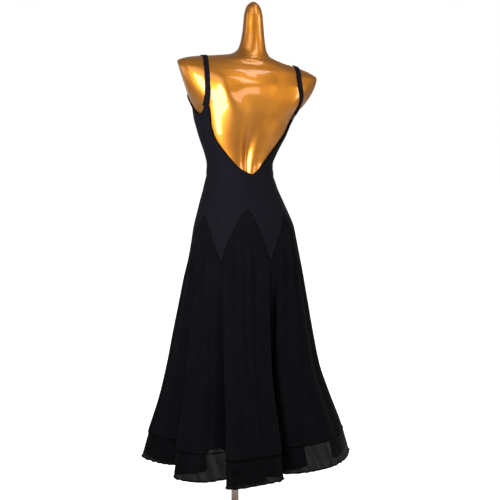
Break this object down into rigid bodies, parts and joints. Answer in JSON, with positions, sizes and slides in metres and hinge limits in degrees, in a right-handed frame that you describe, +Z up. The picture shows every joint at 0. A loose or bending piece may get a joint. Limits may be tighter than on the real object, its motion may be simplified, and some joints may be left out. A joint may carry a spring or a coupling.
{
  "type": "flamenco dress on a dress form",
  "caption": "Sleeveless dance dress with thin straps, a deep V back and a flared gored skirt with a sheer hem band, worn by a limbless glossy dress form on a pole and round base.",
  "frame": {"origin": "centre of the base plate's underside, on the floor", "axes": "+Z up the pole, -Y the way the front of the dress faces, +X the wearer's left"},
  "size_m": [0.6397, 0.6401, 1.587],
  "materials": {
    "jersey": "matte stretch jersey",
    "crepe": "matte fine crepe, a little sheer",
    "sheer_net": "stiff sheer net with a corded edge",
    "gold_lacquer": "mirror-bright gold lacquer",
    "steel": "satin"
  },
  "bodies": {
    "root": {"bodice_back_left": "jersey", "bodice_back_right": "jersey", "bodice_front": "jersey", "strap_left": "jersey", "strap_right": "jersey", "gore_back_centre": "crepe", "gore_back_right": "crepe", "gore_front_right": "crepe", "gore_front_centre": "crepe", "gore_front_left": "crepe", "gore_back_left": "crepe", "hem_band_back_centre": "sheer_net", "hem_band_back_right": "sheer_net", "hem_band_front_right": "sheer_net", "hem_band_front_centre": "sheer_net", "hem_band_front_left": "sheer_net", "hem_band_back_left": "sheer_net", "form_torso": "gold_lacquer", "pole_socket": "steel", "pole": "steel", "base_collar": "steel", "base_plate": "steel"}
  },
  "joints": []
}
